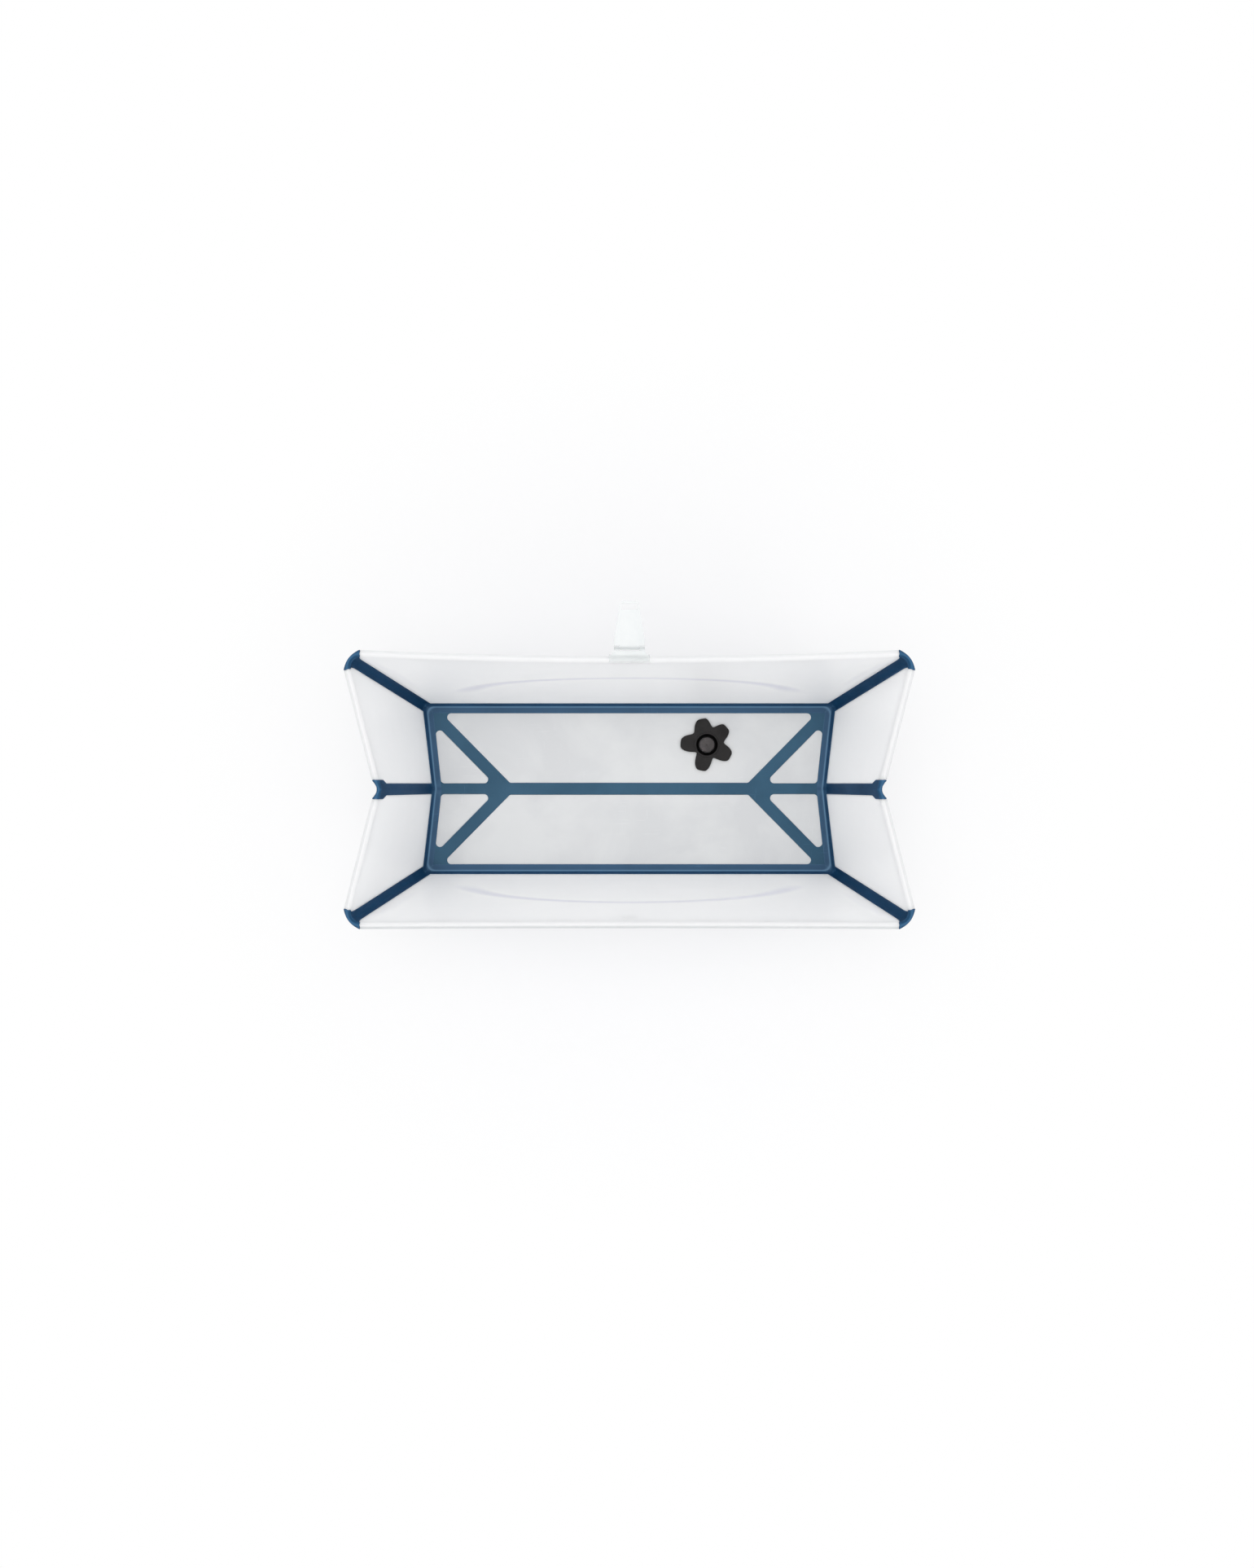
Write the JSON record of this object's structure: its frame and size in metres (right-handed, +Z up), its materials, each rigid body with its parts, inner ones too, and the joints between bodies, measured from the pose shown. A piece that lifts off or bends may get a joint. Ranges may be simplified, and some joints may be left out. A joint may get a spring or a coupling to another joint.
{
  "type": "foldable baby bathtub",
  "caption": "Rectangular baby bathtub of stiff translucent panels joined by flexible rubber strips. It folds flat; it has a star-shaped drain plug and a slotted closing strap.",
  "frame": {"origin": "middle of the underside, on the floor's centre strip", "axes": "+X along the tub towards its right end, +Y towards the long side with the closing strap, +Z up"},
  "size_m": [0.8328, 0.4795, 0.2832],
  "materials": {
    "milky_panel": "satin, milky translucent",
    "strip_rubber": "satin",
    "drain_rubber": "satin",
    "clear_plastic": "glossy, translucent",
    "pin": "satin"
  },
  "bodies": {
    "far_wall": {"side_wall_far": "milky_panel", "corner_hinge_far_right": "strip_rubber", "corner_hinge_far_left": "strip_rubber", "strap_root": "clear_plastic", "strap_hinge_pin": "pin"},
    "far_floor": {"floor_panel_far": "milky_panel", "floor_centre_hinge": "strip_rubber", "long_edge_hinge_far": "strip_rubber", "diagonal_hinge_far_right": "strip_rubber", "diagonal_hinge_far_left": "strip_rubber", "drain_seal_ring": "drain_rubber"},
    "near_floor": {"floor_panel_near": "milky_panel", "long_edge_hinge_near": "strip_rubber", "diagonal_hinge_near_right": "strip_rubber", "diagonal_hinge_near_left": "strip_rubber"},
    "near_wall": {"side_wall_near": "milky_panel", "corner_hinge_near_right": "strip_rubber", "corner_hinge_near_left": "strip_rubber", "latch_catch": "clear_plastic"},
    "end_far_right": {"end_panel_far_right": "milky_panel", "end_edge_hinge_far_right": "strip_rubber", "end_crease_hinge_right": "strip_rubber"},
    "triangle_far_right": {"floor_triangle_far_right": "milky_panel", "floor_end_crease_hinge_right": "strip_rubber"},
    "end_far_left": {"end_panel_far_left": "milky_panel", "end_edge_hinge_far_left": "strip_rubber", "end_crease_hinge_left": "strip_rubber"},
    "triangle_far_left": {"floor_triangle_far_left": "milky_panel", "floor_end_crease_hinge_left": "strip_rubber"},
    "end_near_right": {"end_panel_near_right": "milky_panel", "end_edge_hinge_near_right": "strip_rubber"},
    "triangle_near_right": {"floor_triangle_near_right": "milky_panel"},
    "end_near_left": {"end_panel_near_left": "milky_panel", "end_edge_hinge_near_left": "strip_rubber"},
    "triangle_near_left": {"floor_triangle_near_left": "milky_panel"},
    "strap": {"closing_strap": "clear_plastic"},
    "plug": {"drain_plug": "drain_rubber"}
  },
  "joints": [
    {"name": "fold", "type": "hinge", "parent": "far_wall", "child": "far_floor", "pos_m": [0, 0.13955, 0.0035], "axis": [-1, 0, 0], "range_deg": [0, 69]},
    {"name": "floor_centre", "type": "hinge", "parent": "far_floor", "child": "near_floor", "pos_m": [0, 0, 0], "axis": [1, 0, 0], "range_deg": [0, 120.1]},
    {"name": "near_edge", "type": "hinge", "parent": "near_floor", "child": "near_wall", "pos_m": [0, -0.13955, 0.0035], "axis": [-1, 0, 0], "range_deg": [0, 69]},
    {"name": "corner_far_right", "type": "hinge", "parent": "far_wall", "child": "end_far_right", "pos_m": [0.335, 0.13376, 0.00515], "axis": [-0.2351, -0.1843, -0.9543], "range_deg": [0, 58.4], "deforming": ["end_edge_hinge_far_right", "end_crease_hinge_right"]},
    {"name": "diagonal_far_right", "type": "hinge", "parent": "far_floor", "child": "triangle_far_right", "pos_m": [0.205, 0, 0], "axis": [0.7015, 0.7126, 0], "range_deg": [0, 144.9], "deforming": ["floor_end_crease_hinge_right"]},
    {"name": "corner_far_left", "type": "hinge", "parent": "far_wall", "child": "end_far_left", "pos_m": [-0.335, 0.13376, 0.00515], "axis": [-0.2351, 0.1843, 0.9543], "range_deg": [0, 58.4], "deforming": ["end_edge_hinge_far_left", "end_crease_hinge_left"]},
    {"name": "diagonal_far_left", "type": "hinge", "parent": "far_floor", "child": "triangle_far_left", "pos_m": [-0.205, 0, 0], "axis": [0.7015, -0.7126, 0], "range_deg": [0, 144.9], "deforming": ["floor_end_crease_hinge_left"]},
    {"name": "corner_near_right", "type": "hinge", "parent": "near_wall", "child": "end_near_right", "pos_m": [0.335, -0.13376, 0.00515], "axis": [0.2351, -0.1843, 0.9543], "range_deg": [0, 58.4], "deforming": ["end_edge_hinge_near_right"]},
    {"name": "diagonal_near_right", "type": "hinge", "parent": "near_floor", "child": "triangle_near_right", "pos_m": [0.205, 0, 0], "axis": [-0.7015, 0.7126, 0], "range_deg": [0, 144.9]},
    {"name": "corner_near_left", "type": "hinge", "parent": "near_wall", "child": "end_near_left", "pos_m": [-0.335, -0.13376, 0.00515], "axis": [0.2351, 0.1843, -0.9543], "range_deg": [0, 58.4], "deforming": ["end_edge_hinge_near_left"]},
    {"name": "diagonal_near_left", "type": "hinge", "parent": "near_floor", "child": "triangle_near_left", "pos_m": [-0.205, 0, 0], "axis": [-0.7015, -0.7126, 0], "range_deg": [0, 144.9]},
    {"name": "strap_swing", "type": "hinge", "parent": "far_wall", "child": "strap", "pos_m": [0, 0.20464, 0.28043], "axis": [1, 0, 0], "range_deg": [-75, 165]},
    {"name": "plug_lift", "type": "slide", "parent": "far_floor", "child": "plug", "axis": [0, 0, 1], "range_m": [0, 0.005]}
  ],
  "couplings": [
    {"joint": "floor_centre", "follows": "fold", "ratio": 1.74},
    {"joint": "near_edge", "follows": "fold", "ratio": 1},
    {"joint": "corner_far_right", "follows": "fold", "ratio": 0.845},
    {"joint": "diagonal_far_right", "follows": "fold", "ratio": 2.1},
    {"joint": "corner_far_left", "follows": "fold", "ratio": 0.845},
    {"joint": "diagonal_far_left", "follows": "fold", "ratio": 2.1},
    {"joint": "corner_near_right", "follows": "fold", "ratio": 0.845},
    {"joint": "diagonal_near_right", "follows": "fold", "ratio": 2.1},
    {"joint": "corner_near_left", "follows": "fold", "ratio": 0.845},
    {"joint": "diagonal_near_left", "follows": "fold", "ratio": 2.1}
  ]
}
